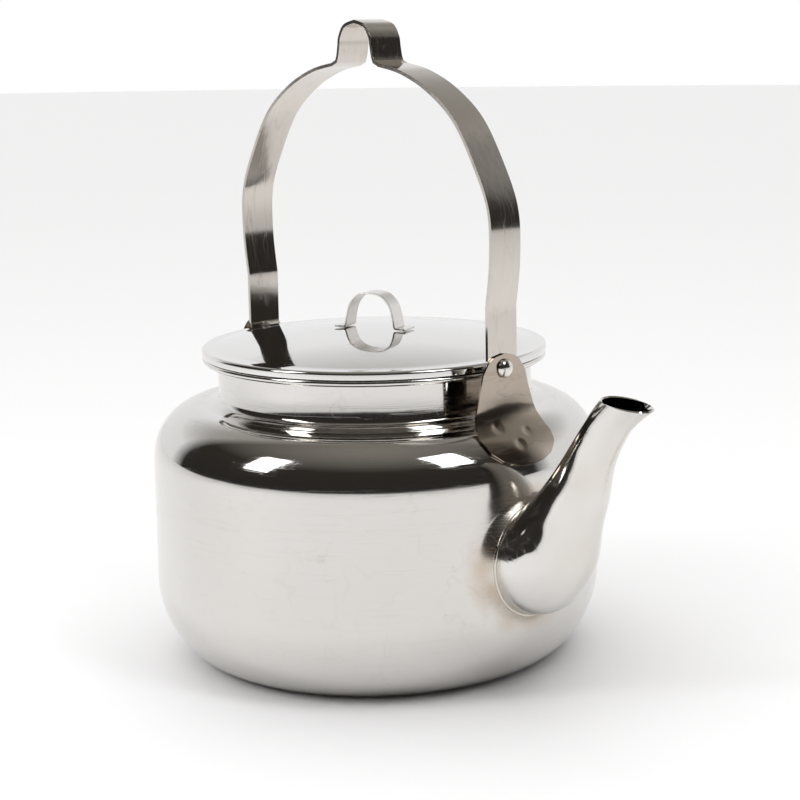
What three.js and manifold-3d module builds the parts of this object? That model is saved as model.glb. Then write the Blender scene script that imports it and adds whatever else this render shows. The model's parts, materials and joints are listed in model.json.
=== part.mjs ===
// Stainless steel stovetop kettle with a swinging bail handle and a lift-off lid.
// Millimetres, +Z up. The origin is the centre of the flat base, and the spout points along +X.

import * as THREE from 'three';
import { mergeVertices, toCreasedNormals } from 'three/addons/utils/BufferGeometryUtils.js';
import Module from 'manifold-3d';

const wasm = await Module();
wasm.setup();

// ---------------------------------------------------------------- driving dimensions
const GAP = 0.3; // air left between pieces that touch on the real kettle
const TURN_SEGMENTS = 48; // facets around a turned piece

const BODY_RADIUS = 115;
const BODY_SHEET = 0.8;
const BASE_RADIUS = 85; // flat underside
const CORNER_HEIGHT = 41; // from the base to the straight wall
const CORNER_FULLNESS = 1.8; // exponent of the superellipse: 2 is an ellipse
const WALL_TOP = 103; // where the wall turns into the shoulder
const SHOULDER_TOP = 132;
const SHOULDER_RADIUS = 88; // where the shoulder turns up into the neck
const SHOULDER_FULLNESS = 2.2;
const NECK_RADIUS = 81;
const NECK_FOOT = 136.5;
const NECK_FLARE = 3.4; // radius of the bend from the neck out to the rim
const RIM_HEIGHT = 156.7; // top of the rolled rim
const RIM_RADIUS = 88.8;
const RIM_ROLL = 1.6; // outer radius of the roll

const LID_RADIUS = 89;
const LID_SHEET = 0.8;
const LID_EDGE = 4; // height of the turned-down edge
const LID_BRIM = 6; // flat brim around the dome
const LID_DOME = 7.5; // rise of the dome above the brim
const LID_TURN = 22; // degrees that the lid is turned from the spout
const COLLAR_SHEET = 0.7;
const COLLAR_DEPTH = 11;
const COLLAR_PLAY = 0.9; // radial play of the lid's collar in the neck
const COLLAR_FLANGE = 5;

const LOOP_WIDTH = 11; // strap of the lid's loop
const LOOP_SHEET = 0.9;
const LOOP_SPAN = 29;
const LOOP_HEIGHT = 19;
const LOOP_FOOT = 6;

const SPOUT_SHEET = 0.9;
const SPOUT_ROOT_RADIUS = 27.7;
const SPOUT_ROOT_HEIGHT = 68;
const SPOUT_STANDOFF = 2.5; // from the body's wall to the seam
const SPOUT_REACH = 61; // from the body's wall to the centre of the mouth
const SPOUT_HEIGHT = 152; // centre of the mouth
const SPOUT_WAIST_RADIUS = 10.3; // of the tube that ends in the mouth
const MOUTH_TILT = 8; // degrees that the mouth is cut down towards its lip
const SPOUT_BLEND = 5; // width of the collar drawn out of the body's wall

const STRAP_WIDTH = 19.3;
const STRAP_SHEET = 1.8;
const PIVOT_HEIGHT = 158.8;
const STRAP_FLAT = 30; // straight part of each leg above its rivet
const BAIL_BULGE = 3; // how far the legs bow out above the straight part
const BAIL_HEIGHT = 305; // outside of the arch beside the hanging loop
const HANG_LOOP_WIDTH = 27;
const HANG_LOOP_HEIGHT = 21;

const EAR_SHEET = 1;
const EAR_TOP_MARGIN = 7.2; // from the rivet's axis to the top of the ear
const EAR_LENGTH = 58; // along the sheet
const EAR_WIDTH = 46;
const RIVET_CLEARANCE = 3.4; // from the lid's edge to the tail of a rivet
const RIVET_SHANK_RADIUS = 2.4;
const RIVET_HEAD_RADIUS = 4.75;
const RIVET_HEAD_HEIGHT = 2.9;
const RIVET_TAIL_RADIUS = 3.6;
const RIVET_TAIL_HEIGHT = 0.8;

// ---------------------------------------------------------------- derived places
const STRAP_INSIDE = LID_RADIUS + RIVET_CLEARANCE + RIVET_TAIL_HEIGHT + GAP;
const STRAP_OUTSIDE = STRAP_INSIDE + STRAP_SHEET;
const EAR_INSIDE = STRAP_OUTSIDE + GAP;
const EAR_OUTSIDE = EAR_INSIDE + EAR_SHEET;
const BRIM_HEIGHT = RIM_HEIGHT + GAP + LID_EDGE;
const SEAM_X = BODY_RADIUS + SPOUT_STANDOFF;

// ---------------------------------------------------------------- materials
const steel = (color, roughness) => new THREE.MeshStandardMaterial({ color, roughness, metalness: 1 });
const polished = steel(0xd9d6d0, 0.08);
const satin = steel(0xc4c0b8, 0.22);
const tinted = steel(0xa89a86, 0.25);

// ---------------------------------------------------------------- small geometry tools
const v2 = (x, y) => new THREE.Vector2(x, y);
const v3 = (x, y, z) => new THREE.Vector3(x, y, z);
const radians = THREE.MathUtils.degToRad;
const range = (count) => Array.from({ length: count + 1 }, (_, i) => i / count);
const mirrorX = (point) => v2(-point.x, point.y);

// Points of a smooth curve through a few points in a plane.
function smooth(points, count) {
  return new THREE.SplineCurve(points).getPoints(count);
}

// A circular arc about a centre, from one angle to another in degrees.
function arc(cx, cy, radius, from, to, count) {
  return range(count).map((t) => {
    const a = radians(from + (to - from) * t);
    return v2(cx + radius * Math.cos(a), cy + radius * Math.sin(a));
  });
}

// A quarter of a superellipse from (0, b) to (a, 0).
function roundedQuarter(a, b, fullness, count) {
  return range(count).map((t) => {
    const angle = (t * Math.PI) / 2;
    return v2(a * Math.sin(angle) ** (2 / fullness), b * Math.cos(angle) ** (2 / fullness));
  });
}

// Moves an open path sideways, to its right for a positive distance.
function offsetPath(path, distance) {
  return path.map((point, i) => {
    const before = path[Math.max(i - 1, 0)];
    const after = path[Math.min(i + 1, path.length - 1)];
    const into = point.clone().sub(before).normalize();
    const away = after.clone().sub(point).normalize();
    const along = into.clone().add(away).normalize();
    const turn = Math.max(0.5, i === 0 || i === path.length - 1 ? 1 : along.dot(into));
    return v2(point.x + (along.y * distance) / turn, point.y - (along.x * distance) / turn);
  });
}

// The outline of a strip of sheet whose middle follows a path.
function sheetOutline(path, thickness) {
  const right = offsetPath(path, thickness / 2);
  const left = offsetPath(path, -thickness / 2);
  return [...right, ...left.reverse()];
}

// A closed body from vertices and triangles, with shared vertices merged and flat triangles dropped.
function closedGeometry(vertices, triangles) {
  const raw = new THREE.BufferGeometry();
  raw.setAttribute('position', new THREE.Float32BufferAttribute(vertices.flatMap((p) => [p.x, p.y, p.z]), 3));
  raw.setIndex(triangles.flat());
  return welded(raw);
}

function welded(geometry) {
  const bare = geometry.clone();
  bare.deleteAttribute('normal');
  bare.deleteAttribute('uv');
  const merged = mergeVertices(bare, 1e-4);
  const index = merged.index.array;
  const kept = [];
  for (let i = 0; i < index.length; i += 3) {
    const [a, b, c] = [index[i], index[i + 1], index[i + 2]];
    if (a !== b && b !== c && c !== a) kept.push(a, b, c);
  }
  merged.setIndex(kept);
  return merged;
}

// Turned about +Z: the profile's x is the radius, and its y is the height.
function turned(profile, segments = TURN_SEGMENTS) {
  const closed = [...profile, profile[0]];
  const geometry = new THREE.LatheGeometry(closed, segments);
  geometry.rotateX(Math.PI / 2);
  return facingOut(welded(geometry));
}

// Turned about +X through (0, 0, height): the profile's x is the radius, and its y is the place along X.
function turnedAlongX(profile, height, segments) {
  return turned(profile, segments).rotateY(Math.PI / 2).translate(0, 0, height);
}

// Turns all the faces of a closed body outward.
function facingOut(geometry) {
  const p = geometry.attributes.position;
  const index = geometry.index.array;
  const [a, b, c] = [v3(), v3(), v3()];
  let volume = 0;
  for (let i = 0; i < index.length; i += 3) {
    a.fromBufferAttribute(p, index[i]);
    b.fromBufferAttribute(p, index[i + 1]);
    c.fromBufferAttribute(p, index[i + 2]);
    volume += a.dot(b.cross(c));
  }
  if (volume < 0) {
    for (let i = 0; i < index.length; i += 3) [index[i], index[i + 1]] = [index[i + 1], index[i]];
  }
  return geometry;
}

// A strip of sheet bent in the XZ plane, with its width along Y.
function bentStrap(path, thickness, width) {
  const shape = new THREE.Shape(sheetOutline(path, thickness));
  const geometry = new THREE.ExtrudeGeometry(shape, { depth: width, bevelEnabled: false });
  geometry.rotateX(Math.PI / 2).translate(0, width / 2, 0);
  return facingOut(welded(geometry));
}

// A closed body between two grids of points with the same rows and columns.
function bodyBetween(front, back, wraps) {
  const rows = front.length;
  const columns = front[0].length;
  const at = (side, i, j) => side * rows * columns + i * columns + (j % columns);
  const triangles = [];
  const quad = (a, b, c, d) => triangles.push([a, b, c], [a, c, d]);
  const lastColumn = wraps ? columns : columns - 1;
  for (let i = 0; i < rows - 1; i++) {
    for (let j = 0; j < lastColumn; j++) {
      quad(at(0, i, j), at(0, i, j + 1), at(0, i + 1, j + 1), at(0, i + 1, j));
      quad(at(1, i, j), at(1, i + 1, j), at(1, i + 1, j + 1), at(1, i, j + 1));
    }
  }
  for (let j = 0; j < lastColumn; j++) {
    quad(at(0, 0, j), at(1, 0, j), at(1, 0, j + 1), at(0, 0, j + 1));
    quad(at(0, rows - 1, j), at(0, rows - 1, j + 1), at(1, rows - 1, j + 1), at(1, rows - 1, j));
  }
  if (!wraps) {
    for (let i = 0; i < rows - 1; i++) {
      quad(at(0, i, 0), at(0, i + 1, 0), at(1, i + 1, 0), at(1, i, 0));
      quad(at(0, i, columns - 1), at(1, i, columns - 1), at(1, i + 1, columns - 1), at(0, i + 1, columns - 1));
    }
  }
  return facingOut(closedGeometry([...front.flat(), ...back.flat()], triangles));
}

// ---------------------------------------------------------------- boolean cuts and joins
function toSolid(geometry) {
  const mesh = welded(geometry);
  return new wasm.Manifold(new wasm.Mesh({
    numProp: 3,
    vertProperties: new Float32Array(mesh.attributes.position.array),
    triVerts: new Uint32Array(mesh.index.array),
  }));
}

function toGeometry(solid) {
  const { vertProperties, triVerts } = solid.getMesh();
  const geometry = new THREE.BufferGeometry();
  geometry.setAttribute('position', new THREE.BufferAttribute(new Float32Array(vertProperties), 3));
  geometry.setIndex(new THREE.BufferAttribute(new Uint32Array(triVerts), 1));
  return geometry;
}

const cut = (geometry, tool) => toGeometry(toSolid(geometry).subtract(toSolid(tool)));
const join = (geometry, other) => toGeometry(toSolid(geometry).add(toSolid(other)));
const common = (geometry, other) => toGeometry(toSolid(geometry).intersect(toSolid(other)));

// A cylinder along X through (0, 0, height).
function rodAlongX(radius, from, to, height, segments = 32) {
  const rod = new THREE.CylinderGeometry(radius, radius, to - from, segments);
  return rod.rotateZ(-Math.PI / 2).translate((from + to) / 2, 0, height);
}

// ---------------------------------------------------------------- body
// Outer profile of the body from the edge of the flat base to the foot of the neck.
function bodyOutline() {
  const corner = roundedQuarter(BODY_RADIUS - BASE_RADIUS, CORNER_HEIGHT, CORNER_FULLNESS, 7)
    .map((p) => v2(BASE_RADIUS + p.x, CORNER_HEIGHT - p.y));
  const shoulder = roundedQuarter(
    BODY_RADIUS - SHOULDER_RADIUS, SHOULDER_TOP - WALL_TOP, SHOULDER_FULLNESS, 7,
  ).map((p) => v2(SHOULDER_RADIUS + p.x, WALL_TOP + p.y)).reverse();
  return [...corner, ...shoulder];
}

// Outer radius of the body at a height.
function bodyRadiusAt(z) {
  const outline = bodyOutline();
  const i = outline.findIndex((p) => p.y >= z);
  if (i <= 0) return i === 0 ? BASE_RADIUS : SHOULDER_RADIUS;
  const [low, high] = [outline[i - 1], outline[i]];
  return THREE.MathUtils.mapLinear(z, low.y, high.y, low.x, high.x);
}

// Sheet path from the base to the end of the rolled rim. It follows the face that is outside on the
// wall, which becomes the inside of the roll.
function bodyPath() {
  const rollCentre = v2(RIM_RADIUS - RIM_ROLL, RIM_HEIGHT - RIM_ROLL);
  return [
    v2(0, 0),
    ...bodyOutline(),
    ...smooth([v2(SHOULDER_RADIUS - 3, SHOULDER_TOP + 0.7), v2(NECK_RADIUS + 0.9, SHOULDER_TOP + 2.2),
      v2(NECK_RADIUS, NECK_FOOT)], 3),
    ...arc(NECK_RADIUS + NECK_FLARE, RIM_HEIGHT - BODY_SHEET - NECK_FLARE, NECK_FLARE, 180, 90, 3),
    ...arc(rollCentre.x, rollCentre.y, RIM_ROLL - BODY_SHEET, 90, -100, 6),
  ];
}

// Distance along X from the axis to the body's outer face, beside the spout.
const wallAt = (y, z) => Math.sqrt(bodyRadiusAt(z) ** 2 - y ** 2);

// The short collar drawn out of the wall, to which the spout is welded.
function spoutCollar() {
  const columns = 32;
  const overlap = 1; // laps onto the wall around the opening
  const ring = (inward) => range(4).map((t) => Array.from({ length: columns }, (_, j) => {
    const angle = (j / columns) * 2 * Math.PI;
    const reach = SPOUT_ROOT_RADIUS + (SPOUT_BLEND + overlap) * (1 - t);
    const wall = (radius) => wallAt(radius * Math.cos(angle), SPOUT_ROOT_HEIGHT + radius * Math.sin(angle));
    const rise = (SEAM_X - wall(SPOUT_ROOT_RADIUS)) * t ** 2;
    const radius = reach - inward * t ** 2;
    const x = wall(reach) + rise - inward * (1 - t ** 3);
    return v3(x, radius * Math.cos(angle), SPOUT_ROOT_HEIGHT + radius * Math.sin(angle));
  }));
  return bodyBetween(ring(0), ring(BODY_SHEET), true);
}

function bodyShell() {
  const outer = bodyPath();
  const inner = offsetPath(outer, -BODY_SHEET);
  inner[0] = v2(0, BODY_SHEET);
  const shell = turned([...outer, ...inner.reverse()]);
  const bore = rodAlongX(SPOUT_ROOT_RADIUS + SPOUT_BLEND, BODY_RADIUS / 2, SEAM_X + 5, SPOUT_ROOT_HEIGHT);
  return join(cut(shell, bore), spoutCollar());
}

// ---------------------------------------------------------------- spout
// Stations along the spout: the shares of its reach and rise, how much of the root's extra radius is
// left, and the lean of the section in degrees, 0 being upright. The last one lies past the mouth.
const SPOUT_LINE = [
  [0, 0, 1, 0], [0.125, 0.032, 0.94, 15], [0.255, 0.137, 0.74, 36], [0.345, 0.29, 0.47, 60], [0.5, 0.475, 0.26, 64],
  [0.65, 0.69, 0.06, 62], [0.84, 0.89, 0, 49], [1, 1, 0, 43], [1.13, 1.075, 0.03, 39],
];

function spoutStations() {
  const rise = SPOUT_HEIGHT - SPOUT_ROOT_HEIGHT;
  const start = v2(SEAM_X + GAP, SPOUT_ROOT_HEIGHT);
  const reach = BODY_RADIUS + SPOUT_REACH - start.x;
  const line = new THREE.SplineCurve(SPOUT_LINE.map(([x, z]) => v2(start.x + reach * x, start.y + rise * z)));
  const section = new THREE.SplineCurve(SPOUT_LINE.map(([, , swell, lean]) => v2(swell, radians(lean))));
  return range(18).map((t) => {
    const { x: swell, y: lean } = section.getPoint(t);
    return {
      centre: line.getPoint(t),
      along: v2(Math.cos(lean), Math.sin(lean)),
      radius: SPOUT_WAIST_RADIUS + (SPOUT_ROOT_RADIUS - SPOUT_WAIST_RADIUS) * swell,
    };
  });
}

// Everything above the plane of the mouth.
function aboveMouth() {
  const size = 4 * SPOUT_ROOT_RADIUS;
  const block = new THREE.BoxGeometry(size, size, size).translate(0, 0, size / 2);
  return block.rotateY(radians(MOUTH_TILT)).translate(BODY_RADIUS + SPOUT_REACH, 0, SPOUT_HEIGHT);
}

// One pressed half of the spout: side is 1 for the half at +Y, and -1 for the half at -Y.
function spoutHalf(side) {
  const edge = GAP / 2; // the halves' edges stand this far from the plane between them
  const surface = (inward) => spoutStations().map(({ centre, along, radius }) => range(10).map((s) => {
    const angle = Math.PI * s;
    const r = radius - inward;
    const across = r * Math.cos(angle);
    const y = Math.max(edge, r * Math.sin(angle));
    return v3(centre.x + across * along.y, side * y, centre.y - across * along.x);
  }));
  return cut(bodyBetween(surface(0), surface(SPOUT_SHEET), false), aboveMouth());
}

// ---------------------------------------------------------------- lid
// Height of the lid's outer face at a radius, over the dome.
function lidHeightAt(radius) {
  const domeRadius = LID_RADIUS - LID_BRIM;
  return BRIM_HEIGHT + LID_DOME * (1 - (radius / domeRadius) ** 2);
}

function lidDisc() {
  const domeRadius = LID_RADIUS - LID_BRIM;
  const dome = range(6).map((t) => v2(t * domeRadius, lidHeightAt(t * domeRadius)));
  const turnDown = 1.6;
  const top = [
    ...dome,
    ...arc(LID_RADIUS - turnDown, BRIM_HEIGHT - turnDown, turnDown, 90, 0, 3),
    v2(LID_RADIUS, RIM_HEIGHT + GAP),
  ];
  const under = offsetPath(top, LID_SHEET);
  under[0] = v2(0, top[0].y - LID_SHEET);
  return turned([...top, ...under.reverse()]);
}

function lidCollar() {
  const outside = NECK_RADIUS - BODY_SHEET - COLLAR_PLAY;
  const middle = outside - COLLAR_SHEET / 2;
  const under = (radius) => lidHeightAt(radius) - LID_SHEET - GAP - COLLAR_SHEET / 2 - 0.05;
  const path = [
    v2(middle - COLLAR_FLANGE, under(middle - COLLAR_FLANGE)),
    v2(middle - 1, under(middle - 1)),
    v2(middle, under(middle) - 1),
    v2(middle, RIM_HEIGHT - COLLAR_DEPTH),
  ];
  return turned(sheetOutline(path, COLLAR_SHEET));
}

function lidLoop() {
  const half = LOOP_SPAN / 2 - LOOP_SHEET / 2;
  const foot = lidHeightAt(half) + GAP + LOOP_SHEET / 2;
  const rise = lidHeightAt(0) + LOOP_HEIGHT - LOOP_SHEET / 2;
  const height = rise - foot;
  const leg = smooth([
    v2(half, foot + 1.2), v2(half * 0.93, foot + height * 0.33), v2(half * 0.78, foot + height * 0.66),
    v2(half * 0.45, foot + height * 0.93), v2(0, rise),
  ], 12);
  const side = [v2(half + LOOP_FOOT, foot), v2(half + 1, foot), ...leg];
  return bentStrap([...side, ...side.slice(0, -1).reverse().map(mirrorX)], LOOP_SHEET, LOOP_WIDTH);
}

// ---------------------------------------------------------------- bail handle
// Middle of the strap on the spout's side, from its lower end to the top of the hanging loop.
function bailSide() {
  const leg = STRAP_OUTSIDE - STRAP_SHEET / 2;
  const shoulder = BAIL_HEIGHT - STRAP_SHEET / 2;
  const straightTop = PIVOT_HEIGHT + STRAP_FLAT;
  const rise = shoulder - straightTop;
  const loop = HANG_LOOP_WIDTH / 2 - STRAP_SHEET / 2;
  const loopTop = BAIL_HEIGHT + HANG_LOOP_HEIGHT - STRAP_SHEET / 2;
  const arch = smooth([
    v2(leg, straightTop), v2(leg + BAIL_BULGE, straightTop + rise * 0.2), v2(leg + 1.7, straightTop + rise * 0.41),
    v2(leg * 0.905, straightTop + rise * 0.6), v2(leg * 0.76, straightTop + rise * 0.77),
    v2(leg * 0.57, straightTop + rise * 0.89), v2(leg * 0.37, straightTop + rise * 0.96), v2(loop + 5, shoulder - 1.2),
  ], 28);
  const hangingLoop = smooth([
    v2(loop + 2.4, shoulder + 0.4), v2(loop + 1.3, shoulder + 3), v2(loop + 0.5, shoulder + 8),
    v2(loop * 0.93, shoulder + HANG_LOOP_HEIGHT * 0.62), v2(loop * 0.6, loopTop - 2.6), v2(0, loopTop),
  ], 14);
  return [v2(leg, PIVOT_HEIGHT - STRAP_WIDTH / 2), ...arch, ...hangingLoop];
}

// A slab with a round lower end about each rivet, as wide as the strap, seen along X.
function roundedEnds() {
  const half = STRAP_WIDTH / 2;
  const top = BAIL_HEIGHT + HANG_LOOP_HEIGHT + 10;
  const outline = [v2(half, top), v2(-half, top), ...arc(0, PIVOT_HEIGHT, half, 180, 360, 16)];
  const depth = 3 * BODY_RADIUS;
  const slab = new THREE.ExtrudeGeometry(new THREE.Shape(outline), { depth, bevelEnabled: false });
  slab.rotateX(Math.PI / 2).rotateZ(Math.PI / 2).translate(-depth / 2, 0, 0);
  return facingOut(welded(slab));
}

function bailHandle() {
  const side = bailSide();
  const strap = bentStrap([...side, ...side.slice(0, -1).reverse().map(mirrorX)], STRAP_SHEET, STRAP_WIDTH);
  const holes = rodAlongX(RIVET_SHANK_RADIUS + GAP, -2 * BODY_RADIUS, 2 * BODY_RADIUS, PIVOT_HEIGHT, 20);
  return cut(common(strap, roundedEnds()), holes);
}

// ---------------------------------------------------------------- ears and rivets
// The ear's middle, from its top edge down the flat part and out over the shoulder.
function earPath() {
  const x = EAR_INSIDE + EAR_SHEET / 2;
  const top = PIVOT_HEIGHT + EAR_TOP_MARGIN;
  const lift = GAP + EAR_SHEET / 2 + 0.15;
  const shoulder = roundedQuarter(
    BODY_RADIUS - SHOULDER_RADIUS, SHOULDER_TOP - WALL_TOP, SHOULDER_FULLNESS, 40,
  ).map((p) => v2(SHOULDER_RADIUS + p.x, WALL_TOP + p.y));
  const resting = offsetPath(shoulder, -lift).filter((p) => p.x > x + 8 && p.y > WALL_TOP);
  const bend = [v2(x, top), v2(x, top - 12), v2(x + 0.2, top - 22), v2(x + 1.9, top - 30.5)];
  return new THREE.SplineCurve([...bend, ...resting.filter((_, i) => i % 4 === 0)]);
}

// Half the ear's width at a distance from its top edge along the sheet.
function earHalfWidth(distance) {
  const full = EAR_WIDTH / 2;
  const t = distance / EAR_LENGTH;
  const outline = [[0, 0], [0.02, 0.28], [0.06, 0.44], [0.16, 0.61], [0.3, 0.7], [0.45, 0.82], [0.58, 0.93],
    [0.72, 1], [0.85, 0.93], [0.94, 0.68], [0.985, 0.35], [1, 0]];
  const i = Math.max(1, outline.findIndex(([at]) => at >= t));
  const [low, high] = [outline[i - 1], outline[i]];
  return full * THREE.MathUtils.mapLinear(t, low[0], high[0], low[1], high[1]);
}

function earPlate() {
  const path = earPath();
  const total = path.getLength();
  const rows = range(20).map((t) => (1 - Math.cos(Math.PI * t)) / 2);
  const middle = rows.map((t) => {
    const distance = t * EAR_LENGTH;
    const u = distance / total;
    const point = path.getPointAt(u);
    const along = path.getTangentAt(u);
    const wrap = THREE.MathUtils.smoothstep(t, 0.3, 0.75);
    return { point, out: v2(-along.y, along.x), wrap, half: earHalfWidth(distance) };
  });
  const face = (offset) => middle.map(({ point, out, wrap, half }) => range(8).map((s) => {
    const x = point.x + out.x * offset;
    const z = point.y + out.y * offset;
    const y = half * (2 * s - 1);
    const fall = x - Math.sqrt(x ** 2 - y ** 2);
    return v3(x - wrap * fall, y, z);
  }));
  const plate = bodyBetween(face(EAR_SHEET / 2), face(-EAR_SHEET / 2), false);
  return cut(plate, rodAlongX(RIVET_SHANK_RADIUS + GAP, EAR_INSIDE - 5, EAR_OUTSIDE + 5, PIVOT_HEIGHT, 20));
}

function rivet() {
  const headSeat = EAR_OUTSIDE + GAP;
  const tailSeat = STRAP_INSIDE - GAP;
  const dome = range(5).map((t) => {
    const angle = (t * Math.PI) / 2;
    return v2(RIVET_HEAD_RADIUS * Math.cos(angle), headSeat + RIVET_HEAD_HEIGHT * Math.sin(angle));
  });
  dome[dome.length - 1].x = 0;
  return turnedAlongX([
    v2(0, tailSeat - RIVET_TAIL_HEIGHT), v2(RIVET_TAIL_RADIUS, tailSeat - RIVET_TAIL_HEIGHT),
    v2(RIVET_TAIL_RADIUS, tailSeat), v2(RIVET_SHANK_RADIUS, tailSeat), v2(RIVET_SHANK_RADIUS, headSeat), ...dome,
  ], PIVOT_HEIGHT, 20);
}

// ---------------------------------------------------------------- assembly
function node(name, geometry, material) {
  const flat = geometry.index ? toCreasedNormals(geometry, radians(35)) : geometry;
  const mesh = new THREE.Mesh(flat, material);
  mesh.name = name;
  return mesh;
}

const kettle = new THREE.Group();
kettle.add(node('body_shell', bodyShell(), polished));
kettle.add(node('spout_half_left', spoutHalf(1), polished));
kettle.add(node('spout_half_right', spoutHalf(-1), polished));
kettle.add(node('bail_handle', bailHandle(), satin));

for (const [end, turn] of [['front', 0], ['rear', Math.PI]]) {
  const fittings = new THREE.Group();
  fittings.rotation.z = turn;
  fittings.add(node(`ear_${end}`, earPlate(), tinted));
  fittings.add(node(`rivet_${end}`, rivet(), polished));
  kettle.add(fittings);
}

const lid = new THREE.Group();
lid.rotation.z = radians(LID_TURN);
lid.add(node('lid_disc', lidDisc(), polished));
lid.add(node('lid_collar', lidCollar(), satin));
lid.add(node('lid_loop', lidLoop(), satin));
kettle.add(lid);

export default kettle;
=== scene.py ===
# %% [markdown]
# # A polished steel kettle with a bail handle
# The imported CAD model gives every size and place. This lesson builds a smooth piece over each CAD
# part, gives it a worn steel finish, and sets up a small studio, because polished steel shows
# little but what stands around it.

# %% Load the fixed frame
import bmesh
import bpy
import json
import math
from mathutils import Matrix, Vector

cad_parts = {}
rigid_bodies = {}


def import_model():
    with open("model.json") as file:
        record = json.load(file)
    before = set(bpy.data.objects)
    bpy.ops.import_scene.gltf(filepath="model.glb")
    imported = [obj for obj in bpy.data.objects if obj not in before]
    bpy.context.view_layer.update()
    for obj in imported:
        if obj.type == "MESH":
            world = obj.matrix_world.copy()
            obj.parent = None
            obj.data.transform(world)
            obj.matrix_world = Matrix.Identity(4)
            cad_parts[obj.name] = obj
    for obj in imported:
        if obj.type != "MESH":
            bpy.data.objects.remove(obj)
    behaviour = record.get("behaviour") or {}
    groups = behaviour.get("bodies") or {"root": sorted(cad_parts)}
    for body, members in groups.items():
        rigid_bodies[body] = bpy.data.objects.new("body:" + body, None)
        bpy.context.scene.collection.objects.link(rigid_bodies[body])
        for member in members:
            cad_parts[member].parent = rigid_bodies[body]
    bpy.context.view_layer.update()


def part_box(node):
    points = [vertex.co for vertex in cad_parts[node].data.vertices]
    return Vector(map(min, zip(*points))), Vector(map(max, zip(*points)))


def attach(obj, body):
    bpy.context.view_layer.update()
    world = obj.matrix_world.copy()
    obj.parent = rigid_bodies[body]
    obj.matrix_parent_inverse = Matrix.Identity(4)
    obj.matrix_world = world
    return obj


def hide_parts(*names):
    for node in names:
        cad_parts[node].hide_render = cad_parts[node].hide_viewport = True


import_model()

# %% [markdown]
# ## Sizes from the frame
# The mesh work is done in millimetres, as on a workshop drawing, and is scaled to metres when a
# piece is finished. The main sizes are read from the CAD boxes, so the pieces can't drift away.

# %% Main sizes
MM = 0.001


def box_mm(node):
    low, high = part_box(node)
    return low / MM, high / MM


body_low, body_high = box_mm("body_shell")
BODY_RADIUS = -body_low.y
RIM_HEIGHT = body_high.z
SEAM_X = body_high.x
lid_low, lid_high = box_mm("lid_disc")
LID_RADIUS = lid_high.x
loop_high = box_mm("lid_loop")[1]
bail_low, bail_high = box_mm("bail_handle")
STRAP_WIDTH = bail_high.y - bail_low.y
PIVOT_HEIGHT = bail_low.z + STRAP_WIDTH / 2
rivet_low, rivet_high = box_mm("rivet_front")
for title, value in (("body radius", BODY_RADIUS), ("rim", RIM_HEIGHT), ("lid radius", LID_RADIUS),
                     ("strap", STRAP_WIDTH), ("pivot", PIVOT_HEIGHT)):
    print(title, round(value, 1))

# %% [markdown]
# ## The camera
# A long lens, a little above the rim, about 50 degrees round from the front. The lens is shifted a
# little instead of being pointed at the kettle, so its axis falls beside the middle of the frame.
# Lengths and places in the frame are shares of its width, from its upper left corner.

# %% Camera
EYE = Vector((0.7522, -0.6357, 0.3236))
AIM = Vector((0, 0, 0.150))
LENS_LENGTH = 2.3975
AIM_PLACE = (0.4685, 0.449875)
AXIS_PLACE = (0.625, 0.425)
SENSOR_WIDTH = 36
ROLL = math.radians(-1.2)


def turned_camera():
    """The rotation that puts AIM at AIM_PLACE when the lens axis falls on AXIS_PLACE."""
    ahead = (AIM - EYE).normalized()
    right = ahead.cross(Vector((0, 0, 1))).normalized()
    yaw = math.atan((AXIS_PLACE[0] - AIM_PLACE[0]) / LENS_LENGTH)
    pitch = math.atan((AIM_PLACE[1] - AXIS_PLACE[1]) / LENS_LENGTH)
    up = right.cross(ahead)
    ahead = (ahead * math.cos(yaw) + right * math.sin(yaw)).normalized()
    right = ahead.cross(up).normalized()
    ahead = (ahead * math.cos(pitch) + up * math.sin(pitch)).normalized()
    up = right.cross(ahead)
    rolled_right = right * math.cos(ROLL) + up * math.sin(ROLL)
    rolled_up = up * math.cos(ROLL) - right * math.sin(ROLL)
    return Matrix((rolled_right, rolled_up, -ahead)).transposed()


lens = bpy.data.cameras.new("kettle_camera")
lens.sensor_width = SENSOR_WIDTH
lens.lens = LENS_LENGTH * SENSOR_WIDTH
lens.shift_x = 0.5 - AXIS_PLACE[0]
lens.shift_y = AXIS_PLACE[1] - 0.5
camera = bpy.data.objects.new("kettle_camera", lens)
camera.matrix_world = Matrix.Translation(EYE) @ turned_camera().to_4x4()
bpy.context.scene.collection.objects.link(camera)
bpy.context.scene.camera = camera
print("lens", round(lens.lens, 1), "mm, shift", round(lens.shift_x, 3), round(lens.shift_y, 3))

# %% [markdown]
# ## Curves and sheets
# Sheet steel is drawn as a path with a thickness. The path is a few points with a smooth curve
# through them, and a Solidify modifier gives the sheet its thickness, towards the inside.

# %% Curve helpers


def through(points, t):
    """The point at a share t of a smooth curve through the points, which may have any number of values."""
    last = len(points) - 1
    place = min(max(t, 0), 1) * last
    i = min(int(place), last - 1)
    w = place - i
    before, a, b, after = points[max(i - 1, 0)], points[i], points[i + 1], points[min(i + 2, last)]
    return tuple(
        (2 * (p1 - p2) + (p2 - p0) / 2 + (p3 - p1) / 2) * w**3
        + (3 * (p2 - p1) - (p2 - p0) - (p3 - p1) / 2) * w**2
        + (p2 - p0) / 2 * w
        + p1
        for p0, p1, p2, p3 in zip(before, a, b, after)
    )


def shares(count):
    return [i / count for i in range(count + 1)]


def curve(points, count):
    return [through(points, t) for t in shares(count)]


def arc(cx, cy, radius, start, end, count):
    """Points on a circle, from one angle in degrees to another."""
    angles = [math.radians(start + (end - start) * t) for t in shares(count)]
    return [(cx + radius * math.cos(a), cy + radius * math.sin(a)) for a in angles]


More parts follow.
